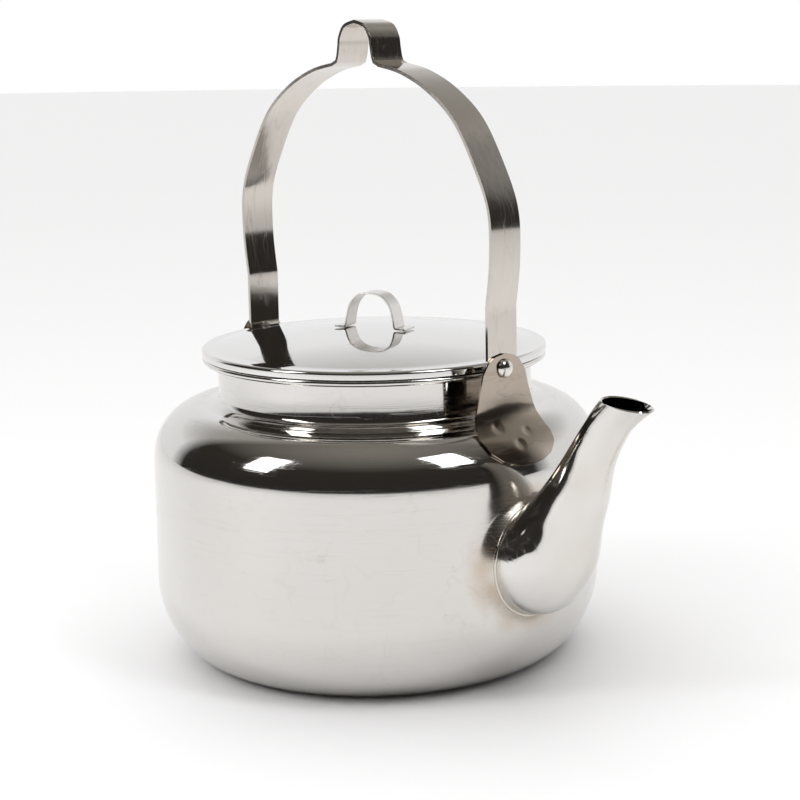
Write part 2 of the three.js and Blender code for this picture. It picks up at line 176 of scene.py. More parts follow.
def rounded_quarter(a, b, fullness, count):
    """A quarter of a superellipse from (0, b) to (a, 0); a fullness of 2 is an ellipse."""
    angles = [t * math.pi / 2 for t in shares(count)]
    return [(a * abs(math.sin(x)) ** (2 / fullness), b * abs(math.cos(x)) ** (2 / fullness)) for x in angles]


def along_path(path, distance):
    """The point and the direction at a distance along a path of close points."""
    for (x0, z0), (x1, z1) in zip(path, path[1:]):
        step = math.hypot(x1 - x0, z1 - z0)
        if distance <= step:
            break
        distance -= step
    w = distance / step
    return (x0 + (x1 - x0) * w, z0 + (z1 - z0) * w), ((x1 - x0) / step, (z1 - z0) / step)


print("a curve through three points passes", through([(0, 0), (1, 2), (3, 1)], 0.5))

# %% Mesh helpers


def chain(bm, points):
    """Vertices joined by edges, in the XZ plane unless a point has three values."""
    verts = [bm.verts.new(p if len(p) == 3 else (p[0], 0, p[1])) for p in points]
    edges = [bm.edges.new(pair) for pair in zip(verts, verts[1:])]
    return verts, edges


def spun(bm, points, axis=(0, 0, 1), centre=(0, 0, 0), steps=160):
    """Turns a chain of points into a sheet all round an axis, as a metal spinner does."""
    verts, edges = chain(bm, points)
    bmesh.ops.spin(bm, geom=verts + edges, cent=centre, axis=axis, angle=2 * math.pi, steps=steps,
                   use_merge=True, use_duplicate=False)
    bmesh.ops.remove_doubles(bm, verts=bm.verts, dist=1e-4)


def face_away(bm, inside):
    """Turns the faces of an open sheet away from inside(c), the inner point nearest a face's centre c."""
    bmesh.ops.recalc_face_normals(bm, faces=bm.faces)
    lean = sum(f.normal.dot(f.calc_center_median() - inside(f.calc_center_median())) for f in bm.faces)
    if lean < 0:
        bmesh.ops.reverse_faces(bm, faces=bm.faces)


def make_piece(name, bm, body, replaced=(), sheet=0, bevel=0):
    """Ends the mesh work: metres, smooth shading, a thickness, rounded edges, and a body to ride on."""
    bmesh.ops.scale(bm, vec=(MM, MM, MM), verts=bm.verts)
    mesh = bpy.data.meshes.new(name)
    bm.to_mesh(mesh)
    bm.free()
    mesh.shade_smooth()
    piece = bpy.data.objects.new(name, mesh)
    bpy.context.scene.collection.objects.link(piece)
    if sheet:
        wall = piece.modifiers.new("sheet", "SOLIDIFY")
        wall.thickness = sheet * MM
        wall.offset = -1
        wall.use_even_offset = True
    if bevel:
        soft = piece.modifiers.new("burnished_edges", "BEVEL")
        soft.width = bevel * MM
        soft.segments = 2
        soft.limit_method = "ANGLE"
        soft.angle_limit = math.radians(40)
        soft.harden_normals = True
    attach(piece, body)
    if replaced:
        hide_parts(*replaced)
    print(name, len(mesh.polygons), "faces", [round(x * 1000, 1) for x in piece.dimensions])
    return piece


# %% [markdown]
# ## The body
# The real body is drawn from one disc of sheet: a flat base, a soft corner, a straight wall, a
# round shoulder, a neck, and a rolled rim. Its outer outline is spun about the upright axis.

# %% Body outline
BASE_RADIUS = 85
CORNER_HEIGHT = 41
WALL_TOP = 103
SHOULDER_TOP = 132
SHOULDER_RADIUS = 88
NECK_RADIUS = 81
NECK_FOOT = 136.5
NECK_FLARE = 3.4
BODY_SHEET = 0.8
RIM_RADIUS = LID_RADIUS - 0.2
RIM_ROLL = 1.6

shoulder = [(SHOULDER_RADIUS + x, WALL_TOP + z)
            for x, z in rounded_quarter(BODY_RADIUS - SHOULDER_RADIUS, SHOULDER_TOP - WALL_TOP, 2.2, 40)]
corner = [(BASE_RADIUS + x, CORNER_HEIGHT - z)
          for x, z in rounded_quarter(BODY_RADIUS - BASE_RADIUS, CORNER_HEIGHT, 1.8, 30)]
wall = [(BODY_RADIUS, CORNER_HEIGHT + (WALL_TOP - CORNER_HEIGHT) * t) for t in shares(22)][1:-1]
side_outline = corner + wall + shoulder[::-1]
print("the side has", len(side_outline), "points up to", side_outline[-1])


def radius_at(z):
    """Outer radius of the body's side at a height."""
    for (r0, z0), (r1, z1) in zip(side_outline, side_outline[1:]):
        if z0 <= z <= z1:
            return r0 + (r1 - r0) * (z - z0) / max(z1 - z0, 1e-6)
    return BASE_RADIUS


def wall_x(y, z):
    return math.sqrt(radius_at(z) ** 2 - y**2)


# %% Spin the body
base = [(x, 0) for x in (0, 20, 45, 70)]
neck = curve([(SHOULDER_RADIUS, SHOULDER_TOP), (SHOULDER_RADIUS - 3, SHOULDER_TOP + 0.7),
              (NECK_RADIUS + 0.9, SHOULDER_TOP + 2.2), (NECK_RADIUS, NECK_FOOT)], 15)[1:]
flare = arc(NECK_RADIUS + NECK_FLARE, RIM_HEIGHT - BODY_SHEET - NECK_FLARE, NECK_FLARE, 180, 90, 9)
roll = arc(RIM_RADIUS - RIM_ROLL, RIM_HEIGHT - RIM_ROLL, RIM_ROLL - BODY_SHEET, 90, -100, 14)
body_mesh = bmesh.new()
spun(body_mesh, base + side_outline + neck + flare + roll)
print("spun body:", len(body_mesh.faces), "faces")

# %% [markdown]
# ### The collar for the spout
# The spout's opening is pierced in the wall and its edge is drawn outwards into a short collar. The
# faces inside a circle are deleted, the ragged edge is moved onto the circle, and it is extruded
# ring by ring out to the seam.

# %% Pierce the wall and draw the collar out
ROOT_HEIGHT = 68
ROOT_RADIUS = 27.7
COLLAR_BLEND = 6
COLLAR_RINGS = 8


def around_root(point):
    """Distance and angle from the spout's axis, seen along X."""
    return math.hypot(point.y, point.z - ROOT_HEIGHT), math.atan2(point.z - ROOT_HEIGHT, point.y)


def on_wall(radius, angle):
    y, z = radius * math.cos(angle), ROOT_HEIGHT + radius * math.sin(angle)
    return Vector((wall_x(y, z), y, z))


pierced = [f for f in body_mesh.faces
           if f.calc_center_median().x > BODY_RADIUS / 2
           and around_root(f.calc_center_median())[0] < ROOT_RADIUS + COLLAR_BLEND + 1.5]
bmesh.ops.delete(body_mesh, geom=pierced, context="FACES")
edge_loop = [e for e in body_mesh.edges if e.is_boundary and e.verts[0].co.x > BODY_RADIUS / 2
             and around_root(e.verts[0].co)[0] < 1.5 * ROOT_RADIUS]
for vert in {v for e in edge_loop for v in e.verts}:
    vert.co = on_wall(ROOT_RADIUS + COLLAR_BLEND, around_root(vert.co)[1])
for ring in range(1, COLLAR_RINGS + 1):
    t = ring / COLLAR_RINGS
    grown = bmesh.ops.extrude_edge_only(body_mesh, edges=edge_loop)["geom"]
    edge_loop = [e for e in grown if isinstance(e, bmesh.types.BMEdge) and e.is_boundary]
    for vert in {v for e in edge_loop for v in e.verts}:
        angle = around_root(vert.co)[1]
        foot = on_wall(ROOT_RADIUS, angle)
        place = on_wall(ROOT_RADIUS + COLLAR_BLEND * (1 - t), angle)
        vert.co = place + Vector(((SEAM_X - foot.x) * t**2, 0, 0))
print("collar edge:", len(edge_loop), "edges at x", round(edge_loop[0].verts[0].co.x, 1))

# %% Finish the body
face_away(body_mesh, lambda c: Vector((0, 0, 70)))
body_shell = make_piece("body_shell_smooth", body_mesh, "kettle", ["body_shell"],
                        sheet=BODY_SHEET)

# %% [markdown]
# ## The spout
# Two pressed halves are welded along the middle and ground smooth, so they read as one swan-necked
# tube. A ring of edges is extruded from station to station, each with its own size and lean, and
# the mouth is cut with a plane.

# %% Spout stations
SPOUT_SHEET = 0.9
WAIST_RADIUS = 10.3
MOUTH = Vector((176, 0, 152))
MOUTH_TILT = 8
SPOUT_START = SEAM_X + 0.3
# shares of the reach and the rise, share of the root's extra radius, lean of the section in degrees
SPOUT_LINE = [(0, 0, 1, 0), (0.125, 0.032, 0.94, 15), (0.255, 0.137, 0.74, 36), (0.345, 0.29, 0.47, 60),
              (0.5, 0.475, 0.26, 64), (0.65, 0.69, 0.06, 62), (0.84, 0.89, 0, 49), (1, 1, 0, 43),
              (1.13, 1.075, 0.03, 39)]
ROUND_STEPS = 72
RING_STEPS = 80


def spout_station(t):
    """Centre, lean and radius of the tube at a share of its length."""
    reach, rise, swell, lean = through(SPOUT_LINE, t)
    x = SPOUT_START + (MOUTH.x - SPOUT_START) * reach
    z = ROOT_HEIGHT + (MOUTH.z - ROOT_HEIGHT) * rise
    return Vector((x, 0, z)), math.radians(lean), WAIST_RADIUS + (ROOT_RADIUS - WAIST_RADIUS) * swell


def placed_ring(t):
    """The matrix that carries a unit circle in the YZ plane to its station."""
    centre, lean, radius = spout_station(t)
    size = Matrix.Diagonal((1, radius, radius, 1))
    return Matrix.Translation(centre) @ Matrix.Rotation(-lean, 4, "Y") @ size


# %% Extrude the spout
spout_mesh = bmesh.new()
first = bmesh.ops.create_circle(spout_mesh, segments=ROUND_STEPS, radius=1, cap_ends=False,
                                matrix=Matrix.Rotation(math.pi / 2, 4, "Y"))["verts"]
bmesh.ops.transform(spout_mesh, matrix=placed_ring(0), verts=first)
ring_edges = list(spout_mesh.edges)
for step in range(1, RING_STEPS + 1):
    grown = bmesh.ops.extrude_edge_only(spout_mesh, edges=ring_edges)["geom"]
    ring_verts = [v for v in grown if isinstance(v, bmesh.types.BMVert)]
    ring_edges = [e for e in grown if isinstance(e, bmesh.types.BMEdge) and e.is_boundary]
    onward = placed_ring(step / RING_STEPS) @ placed_ring((step - 1) / RING_STEPS).inverted()
    bmesh.ops.transform(spout_mesh, matrix=onward, verts=ring_verts)
mouth_normal = Vector((math.sin(math.radians(MOUTH_TILT)), 0, math.cos(math.radians(MOUTH_TILT))))
whole_tube = spout_mesh.verts[:] + spout_mesh.edges[:] + spout_mesh.faces[:]
bmesh.ops.bisect_plane(spout_mesh, geom=whole_tube, plane_co=MOUTH, plane_no=mouth_normal, clear_outer=True)
bmesh.ops.remove_doubles(spout_mesh, verts=spout_mesh.verts, dist=0.02)
tube_centres = [spout_station(t)[0] for t in shares(30)]
face_away(spout_mesh, lambda c: min(tube_centres, key=lambda p: (p - c).length))
make_piece("spout_smooth", spout_mesh, "kettle", ["spout_half_left", "spout_half_right"],
           sheet=SPOUT_SHEET, bevel=0.2)

# %% [markdown]
# The weld where the spout meets the collar stands up as a thin bead. It is a small circle spun
# about the spout's axis.

# %% Weld bead around the spout
BEAD_RADIUS = 0.75
bead_mesh = bmesh.new()
bead = arc(SEAM_X + 0.15, ROOT_HEIGHT + ROOT_RADIUS + 0.1, BEAD_RADIUS, 0, 360, 10)
spun(bead_mesh, bead, axis=(1, 0, 0), centre=(0, 0, ROOT_HEIGHT), steps=120)
bmesh.ops.recalc_face_normals(bead_mesh, faces=bead_mesh.faces)
make_piece("spout_weld_bead", bead_mesh, "kettle")

# %% [markdown]
# ## The lid
# A shallow dome with a turned-down edge, and a collar under it that keeps it in the neck.

# %% Lid disc
LID_SHEET = 0.8
LID_BRIM = 6
BRIM_HEIGHT = RIM_HEIGHT + 0.3 + 4
LID_DOME = lid_high.z - BRIM_HEIGHT
LID_TURN = math.radians(22)
TURN_DOWN = 1.6


def lid_height(radius):
    return BRIM_HEIGHT + LID_DOME * (1 - (radius / (LID_RADIUS - LID_BRIM)) ** 2)


dome = [(r, lid_height(r)) for r in ((LID_RADIUS - LID_BRIM) * t for t in shares(28))]
crease = arc(LID_RADIUS - TURN_DOWN, BRIM_HEIGHT - TURN_DOWN, TURN_DOWN, 90, 0, 8)
lid_mesh = bmesh.new()
spun(lid_mesh, dome + [(LID_RADIUS - 4, BRIM_HEIGHT)] + crease + [(LID_RADIUS, RIM_HEIGHT + 0.3)])
face_away(lid_mesh, lambda c: Vector((0, 0, 0)))
make_piece("lid_disc_smooth", lid_mesh, "lid", ["lid_disc"], sheet=LID_SHEET, bevel=0.15)

# %% Lid collar
collar_low = box_mm("lid_collar")[0]
COLLAR_OUTSIDE = NECK_RADIUS - BODY_SHEET - 0.9
COLLAR_SHEET = 0.7
COLLAR_GAP = 0.35
collar_top = [(r, lid_height(r) - LID_SHEET - COLLAR_GAP)
              for r in (COLLAR_OUTSIDE - inward for inward in (5.3, 3.2, 1.2))]
collar_mesh = bmesh.new()
collar_side = [(COLLAR_OUTSIDE, z) for z in (collar_top[-1][1] - 1.2, 151, collar_low.z)]
spun(collar_mesh, collar_top + collar_side)
face_away(collar_mesh, lambda c: Vector((0, 0, c.z - 5)))
make_piece("lid_collar_smooth", collar_mesh, "lid", ["lid_collar"],
           sheet=COLLAR_SHEET, bevel=0.15)

# %% [markdown]
# ## Straps
# The loop on the lid and the bail are both bent from flat strip. A path is extruded across the
# strip's width in a few columns, and Solidify gives it its thickness.

# %% Strap helper


def mirrored(side):
    """A whole path from its right half, which ends on the middle."""
    return side + [(-x, z) for x, z in side[-2::-1]]


def strap_mesh(path, width, columns=1):
    """A ribbon along a path in the XZ plane, extruded across its width."""
    bm = bmesh.new()
    edges = chain(bm, [(x, -width / 2, z) for x, z in path])[1]
    for _ in range(columns):
        grown = bmesh.ops.extrude_edge_only(bm, edges=edges)["geom"]
        edges = [e for e in grown if isinstance(e, bmesh.types.BMEdge) and all(v in grown for v in e.verts)]
        new_verts = [v for v in grown if isinstance(v, bmesh.types.BMVert)]
        bmesh.ops.translate(bm, vec=(0, width / columns, 0), verts=new_verts)
    return bm


# %% Lid loop
LOOP_SHEET = 0.9
LOOP_WIDTH = 11
LOOP_FOOT = 6
LOOP_HALF = 29 / 2
loop_foot = lid_height(LOOP_HALF) + 0.3 + LOOP_SHEET
loop_top = loop_high.z
loop_rise = loop_top - loop_foot
loop_leg = curve([(LOOP_HALF, loop_foot + 0.8), (LOOP_HALF * 0.94, loop_foot + loop_rise * 0.33),
                  (LOOP_HALF * 0.8, loop_foot + loop_rise * 0.66),
                  (LOOP_HALF * 0.46, loop_foot + loop_rise * 0.93),
                  (0, loop_top)], 36)
loop_foot_bend = [(LOOP_HALF + LOOP_FOOT, loop_foot), (LOOP_HALF + 0.8, loop_foot),
                  (LOOP_HALF + 0.25, loop_foot + 0.2)]
loop_side = loop_foot_bend + loop_leg
loop_mesh = strap_mesh(mirrored(loop_side), LOOP_WIDTH)
face_away(loop_mesh, lambda c: Vector((0, c.y, loop_foot - 1)))
lid_turn = Matrix.Rotation(LID_TURN, 3, "Z")
bmesh.ops.rotate(loop_mesh, cent=(0, 0, 0), matrix=lid_turn, verts=loop_mesh.verts)
make_piece("lid_loop_smooth", loop_mesh, "lid", ["lid_loop"], sheet=LOOP_SHEET, bevel=0.18)

# %% [markdown]
# ## The bail
# One strip makes both legs, the arch and the little hanging loop on top. Its ends are round about
# the rivets, so the lowest rows of the ribbon are bent into a half circle.

# %% Bail handle
STRAP_SHEET = 1.8
STRAP_OUTSIDE = LID_RADIUS + 3.4 + 0.8 + 0.3 + STRAP_SHEET
STRAP_FLAT = 30
BAIL_SHOULDER = 305
LOOP_OUT = 27 / 2
leg = STRAP_OUTSIDE
straight_top = PIVOT_HEIGHT + STRAP_FLAT
arch_rise = BAIL_SHOULDER - straight_top
top = bail_high.z
arch = curve([(leg, straight_top), (leg + 3, straight_top + arch_rise * 0.2),
              (leg + 1.7, straight_top + arch_rise * 0.41),
              (leg * 0.907, straight_top + arch_rise * 0.605),
              (leg * 0.765, straight_top + arch_rise * 0.775),
              (leg * 0.573, straight_top + arch_rise * 0.893), (leg * 0.37, straight_top + arch_rise * 0.965),
              (LOOP_OUT + 5, BAIL_SHOULDER - 0.6)], 84)
hang = curve([(LOOP_OUT + 1.9, BAIL_SHOULDER + 0.8), (LOOP_OUT + 0.9, BAIL_SHOULDER + 3.4),
              (LOOP_OUT, BAIL_SHOULDER + 8),
              (LOOP_OUT * 0.93, BAIL_SHOULDER + 12.8), (LOOP_OUT * 0.62, top - 2.4), (0, top)], 48)
ends = [(leg, PIVOT_HEIGHT - STRAP_WIDTH / 2 * (1 - t)) for t in shares(10)]
legs = [(leg, PIVOT_HEIGHT + STRAP_FLAT * t) for t in shares(8)][1:-1]
bail_mesh = strap_mesh(mirrored(ends + legs + arch + hang), STRAP_WIDTH, columns=16)
half_width = STRAP_WIDTH / 2
for vert in bail_mesh.verts:
    below = (PIVOT_HEIGHT - vert.co.z) / half_width
    if below > 0:
        vert.co.z = PIVOT_HEIGHT - below * math.sqrt(max(0, half_width**2 - vert.co.y**2))
bmesh.ops.remove_doubles(bail_mesh, verts=bail_mesh.verts, dist=0.01)
face_away(bail_mesh, lambda c: Vector((0, c.y, 200)))
bail = make_piece("bail_handle_smooth", bail_mesh, "bail", ["bail_handle"],
                  sheet=STRAP_SHEET, bevel=0.35)

# %% [markdown]
# ## Ears and rivets
# Each ear is a pressed plate: flat where the rivet goes through, then bent out to lie on the
# shoulder, where three spot welds hold it and leave small dimples. A grid is laid along the bend
# and trimmed to the ear's outline by squeezing each row to its own width.

# %% Ear path and outline
EAR_SHEET = 1
EAR_OUTSIDE = STRAP_OUTSIDE + 0.3 + EAR_SHEET
EAR_LENGTH = 58
EAR_HALF = 23
ear_top = PIVOT_HEIGHT + 7.2
resting = []
for (x0, z0), (x1, z1) in zip(shoulder, shoulder[1:]):
    step = math.hypot(x1 - x0, z1 - z0)
    lift = 0.3 + EAR_SHEET + 0.15
    resting.append(((x0 + x1) / 2 + (z0 - z1) / step * lift, (z0 + z1) / 2 + (x1 - x0) / step * lift))
resting = [p for p in resting if p[0] > EAR_OUTSIDE + 7.5 and p[1] > WALL_TOP]
bend = [(EAR_OUTSIDE, ear_top), (EAR_OUTSIDE, ear_top - 12), (EAR_OUTSIDE + 0.3, ear_top - 22),
        (EAR_OUTSIDE + 2.1, ear_top - 30.3)]
ear_line = curve(bend + resting[::4], 200)
# share of the ear's length, share of its half width
EAR_OUTLINE = [(0, 0), (0.02, 0.28), (0.06, 0.44), (0.16, 0.61), (0.3, 0.7), (0.45, 0.82), (0.58, 0.93),
               (0.72, 1), (0.85, 0.93), (0.94, 0.68), (0.985, 0.35), (1, 0)]


def ear_half_width(share):
    for (a, wa), (b, wb) in zip(EAR_OUTLINE, EAR_OUTLINE[1:]):
        if share <= b:
            return EAR_HALF * (wa + (wb - wa) * (share - a) / (b - a))
    return 0


print("ear line from", ear_line[0], "to", ear_line[-1])

# %% Ears
WELD_SPOTS = [(0.62, -0.42), (0.70, 0.30), (0.80, -0.10)]
WELD_RADIUS = 2.6
WELD_DEPTH = 0.45


def ear_point(across, down):
    """Place on the ear's outer face: across is -1 to 1 from edge to edge, down is 0 to 1 from the top."""
    (x, z), (dx, dz) = along_path(ear_line, down * EAR_LENGTH)
    y = ear_half_width(down) * across
    wrap = min(max((down - 0.3) / 0.45, 0), 1)
    wrap = wrap * wrap * (3 - 2 * wrap)
    x -= wrap * (x - math.sqrt(x * x - y * y))
    dent = 0
    for weld_down, weld_across in WELD_SPOTS:
        away = math.hypot((down - weld_down) * EAR_LENGTH, y - weld_across * EAR_HALF)
        dent += WELD_DEPTH * math.exp(-((away / WELD_RADIUS) ** 4))
    return Vector((x + dz * dent, y, z - dx * dent))


def make_ear(name, turn, replaced):
    bm = bmesh.new()
    bmesh.ops.create_grid(bm, x_segments=48, y_segments=72, size=1)
    for vert in bm.verts:
        vert.co = ear_point(vert.co.x, (1 - math.cos(math.pi * (1 - vert.co.y) / 2)) / 2)
    bmesh.ops.remove_doubles(bm, verts=bm.verts, dist=0.01)
    face_away(bm, lambda c: Vector((0, c.y, c.z - 20)))
    bmesh.ops.rotate(bm, cent=(0, 0, 0), matrix=Matrix.Rotation(turn, 3, "Z"), verts=bm.verts)
    return make_piece(name, bm, "kettle", [replaced], sheet=EAR_SHEET, bevel=0.2)


ears = [make_ear("ear_front_smooth", 0, "ear_front"), make_ear("ear_rear_smooth", math.pi, "ear_rear")]

# %% Rivets
HEAD_RADIUS = rivet_high.y
HEAD_SEAT = EAR_OUTSIDE + 0.3
HEAD_TOP = rivet_high.x
TAIL_RADIUS = 3.6
TAIL_HEIGHT = 0.8
SHANK_RADIUS = 2.4


def make_rivet(name, turn, replaced):
    bm = bmesh.new()
    crown = [(HEAD_SEAT + (HEAD_TOP - HEAD_SEAT) * math.sin(a), PIVOT_HEIGHT + HEAD_RADIUS * math.cos(a))
             for a in (t * math.pi / 2 for t in shares(14))]
    tail = [(rivet_low.x, 0), (rivet_low.x, TAIL_RADIUS - 0.3), (rivet_low.x + 0.3, TAIL_RADIUS),
            (rivet_low.x + TAIL_HEIGHT, TAIL_RADIUS)]
    neck_down = [(rivet_low.x + TAIL_HEIGHT, SHANK_RADIUS), (HEAD_SEAT, SHANK_RADIUS)]
    shank = [(x, PIVOT_HEIGHT + r) for x, r in tail + neck_down]
    spun(bm, shank + crown, axis=(1, 0, 0), centre=(0, 0, PIVOT_HEIGHT), steps=48)
    bmesh.ops.recalc_face_normals(bm, faces=bm.faces)
    bmesh.ops.rotate(bm, cent=(0, 0, 0), matrix=Matrix.Rotation(turn, 3, "Z"), verts=bm.verts)
    return make_piece(name, bm, "kettle", [replaced], bevel=0.2)


rivets = [make_rivet("rivet_front_smooth", 0, "rivet_front"),
          make_rivet("rivet_rear_smooth", math.pi, "rivet_rear")]

# %% [markdown]
# ## Steel finishes
# Bright steel is a metal with almost no colour of its own. What tells it apart is how evenly it
# mirrors: long waves bend the reflections, fine scratches and rub marks blur them in places, and
# heat and grime tint them. Each finish below adds those in its own amounts.

# %% Shader helpers


class Signal:
    """A number that varies over a surface, for use in sums."""

    def __init__(self, recipe, socket):
        self.recipe, self.socket = recipe, socket

    def maths(self, operation, *values, clamp=False):
        return self.recipe.node("ShaderNodeMath", {"operation": operation, "use_clamp": clamp}, *values)

    def __add__(self, other):
        return self.maths("ADD", self, other)

    __radd__ = __add__

    def __sub__(self, other):
        return self.maths("SUBTRACT", self, other)

    def __rsub__(self, other):
        return self.maths("SUBTRACT", other, self)

    def __mul__(self, other):
        return self.maths("MULTIPLY", self, other)

    __rmul__ = __mul__

    def __abs__(self):
        return self.maths("ABSOLUTE", self)

    def clamped(self):
        return self.maths("ADD", self, 0, clamp=True)

    def between(self, low, high):
        """0 below low, 1 above high, and even between them."""
        return ((self - low) * (1 / (high - low))).clamped()


class Recipe:
    """A node tree that is filled by one method."""

    def __init__(self, tree):
        self.tree = tree

    def node(self, kind, settings, *values, output=0, **named):
        made = self.tree.nodes.new(kind)
        for key, value in settings.items():
            if key == "stops":
                ramp = made.color_ramp.elements
                while len(ramp) < len(value):
                    ramp.new(0.5)
                for stop, (place, colour) in zip(ramp, value):
                    stop.position, stop.color = place, colour
            else:
                setattr(made, key, value)
        for place, value in [*enumerate(values), *named.items()]:
            socket = made.inputs[place if isinstance(place, int) else place.replace("_", " ")]
            if isinstance(value, Signal):
                self.tree.links.new(value.socket, socket)
            else:
                socket.default_value = value
        return Signal(self, made.outputs[output])


def blended(recipe, share, low, high):
    """A colour between two colours."""
    made = recipe.node("ShaderNodeMix", {"data_type": "RGBA"}, output=2)
    mix = made.socket.node
    for socket, value in ((mix.inputs[0], share), (mix.inputs[6], low), (mix.inputs[7], high)):
        if isinstance(value, Signal):
            recipe.tree.links.new(value.socket, socket)
        else:
            socket.default_value = value
    return made


print("finish helpers ready")

# %% Common steel


class Steel(Recipe):
    """A metal finish: colour, roughness and bump are built up and then joined to one shader."""

    def __init__(self, name, colour):
        self.material = bpy.data.materials.new(name)
        self.material.use_nodes = True
        super().__init__(self.material.node_tree)
        self.shader = self.tree.nodes["Principled BSDF"]
        self.shader.inputs["Metallic"].default_value = 1
        self.colour = colour
        self.place = self.node("ShaderNodeTexCoord", {}, output=3)
        self.x, self.y, self.z = (self.node("ShaderNodeSeparateXYZ", {}, self.place, output=i)
                                  for i in range(3))

    def grain(self, scale, detail=3, stretch=(1, 1, 1), rough=0.5):
        """Soft noise with about scale waves to the metre."""
        spread = self.node("ShaderNodeMapping", {}, self.place, Scale=stretch)
        return self.node("ShaderNodeTexNoise", {}, spread, Scale=scale, Detail=detail, Roughness=rough)

    def scratches(self, scale, stretch, width=0.02):
        """Thin lines where stretched noise crosses its middle value."""
        return 1 - abs(self.grain(scale, 2, stretch) - 0.5).between(0, width)

    def spots(self, scale, size):
        cells = self.node("ShaderNodeTexVoronoi", {}, self.place, Scale=scale)
        return 1 - cells.between(size * 0.6, size)

    def finish(self, roughness, height, depth):
        """Joins the parts: roughness and height are signals, depth is the bump's distance in metres."""
        bump = self.node("ShaderNodeBump", {}, Strength=1.0, Distance=depth, Height=height)
        for socket, signal in (("Base Color", self.colour), ("Roughness", roughness), ("Normal", bump)):
            self.tree.links.new(signal.socket, self.shader.inputs[socket])
        return self.material


def painted(piece, material):
    piece.data.materials.clear()
    piece.data.materials.append(material)
    print(piece.name, "has", material.name)


# %% [markdown]
# ### Body
# The wall has a satin rub with specks and fine scratches round it, while the shoulder and neck
# keep a mirror polish. The welding torch left a straw and brown tint round the spout.

# %% Body steel
BRIGHT = (0.73, 0.715, 0.69, 1)
DULL = (0.58, 0.56, 0.53, 1)
STRAW = (0.50, 0.38, 0.25, 1)


def body_finish():
    steel = Steel("polished_body", None)
    cloud = steel.grain(9, 4)
    fine = steel.grain(60, 3)
    ring_scratch = steel.scratches(14, (1, 1, 26), 0.012)
    slant_scratch = steel.scratches(11, (5, 1, 3), 0.008)
    specks = steel.spots(210, 0.055)
    wear = (ring_scratch * 0.5 + slant_scratch * 0.4 + specks * 0.8).clamped()
    across = steel.y * steel.y + (steel.z - ROOT_HEIGHT * MM) * (steel.z - ROOT_HEIGHT * MM)
    from_root = steel.node("ShaderNodeMath", {"operation": "SQRT"}, across)
    near = (1 - (from_root + (cloud - 0.5) * 0.012).between(0.029, 0.041)) * steel.x.between(0.05, 0.07)
    soot = near * fine.between(0.35, 0.65)
    plain = blended(steel, (cloud * 0.5 + wear * 0.35).clamped(), BRIGHT, DULL)
    steel.colour = blended(steel, (soot * 0.75 + near * 0.15).clamped(), plain, STRAW)
    satin = 1 - steel.z.between(0.100, 0.112)
    roughness = 0.05 + satin * 0.085 + cloud * 0.03 + wear * 0.16 + near * 0.10
    height = cloud * 0.5 + fine * 0.02 - wear * 0.012
    return steel.finish(roughness, height, 0.0006)


painted(body_shell, body_finish())

# %% [markdown]
# ### Spout
# The pressed halves were ground by hand, which leaves shallow facets and a faint rough line down
# the middle of the seam.

# %% Spout steel


def spout_finish():
    steel = Steel("hand_ground_spout", None)
    cloud = steel.grain(22, 3)
    fine = steel.grain(120, 3)
    scratch = steel.scratches(30, (1, 6, 1), 0.012)
    seam = (1 - (abs(steel.y) + (fine - 0.5) * 0.0016).between(0.0004, 0.0015)) * steel.z.between(0.10, 0.125)
    root = 1 - (steel.x + (cloud - 0.5) * 0.006).between(0.1175, 0.1235)
    tint = (cloud.between(0.45, 0.75) * 0.35 + root * 0.45 + seam * 0.4).clamped()
    steel.colour = blended(steel, tint, BRIGHT, (0.58, 0.52, 0.44, 1))
    roughness = 0.06 + cloud * 0.05 + scratch * 0.10 + seam * 0.25 + root * 0.1
    height = cloud * 0.8 + fine * 0.03 + seam * fine * 0.3 - scratch * 0.01
    return steel.finish(roughness, height, 0.0007)


spout_steel = spout_finish()
for name in ("spout_smooth", "spout_weld_bead"):
    painted(bpy.data.objects[name], spout_steel)

# %% [markdown]
# ### Lid, straps and rivets
# The lid is the best mirror. The bail and the ears are bright rolled strip with rub marks along
# them, and the ears have kept a brown heat tint.

# %% Lid steel


def lid_finish():
    steel = Steel("mirror_lid", None)
    cloud = steel.grain(8, 3)
    fine = steel.grain(90, 3)
    scratch = steel.scratches(16, (1, 9, 1), 0.008)
    specks = steel.spots(160, 0.05)
    wear = (scratch * 0.5 + specks * 0.6).clamped()
    steel.colour = blended(steel, (cloud * 0.35 + wear * 0.3).clamped(), (0.80, 0.79, 0.775, 1), DULL)
    roughness = 0.045 + cloud * 0.03 + wear * 0.15
    return steel.finish(roughness, cloud * 0.5 + fine * 0.01 - wear * 0.01, 0.0005)


lid_steel = lid_finish()
for name in ("lid_disc_smooth", "lid_collar_smooth"):
    painted(bpy.data.objects[name], lid_steel)

# %% Strip steel


def strip_finish(name, light, dark, stretch, base_roughness):
    steel = Steel(name, None)
    cloud = steel.grain(18, 4)
    fine = steel.grain(130, 3)
    rub = steel.scratches(26, stretch, 0.02)
    specks = steel.spots(170, 0.07)
    wear = (rub * 0.5 + specks * 0.7).clamped()
    steel.colour = blended(steel, (cloud * 0.7 + wear * 0.4 + fine * 0.15).clamped(), light, dark)
    roughness = base_roughness + cloud * 0.07 + wear * 0.16
    return steel.finish(roughness, cloud * 0.6 + fine * 0.04 - wear * 0.015, 0.0005)


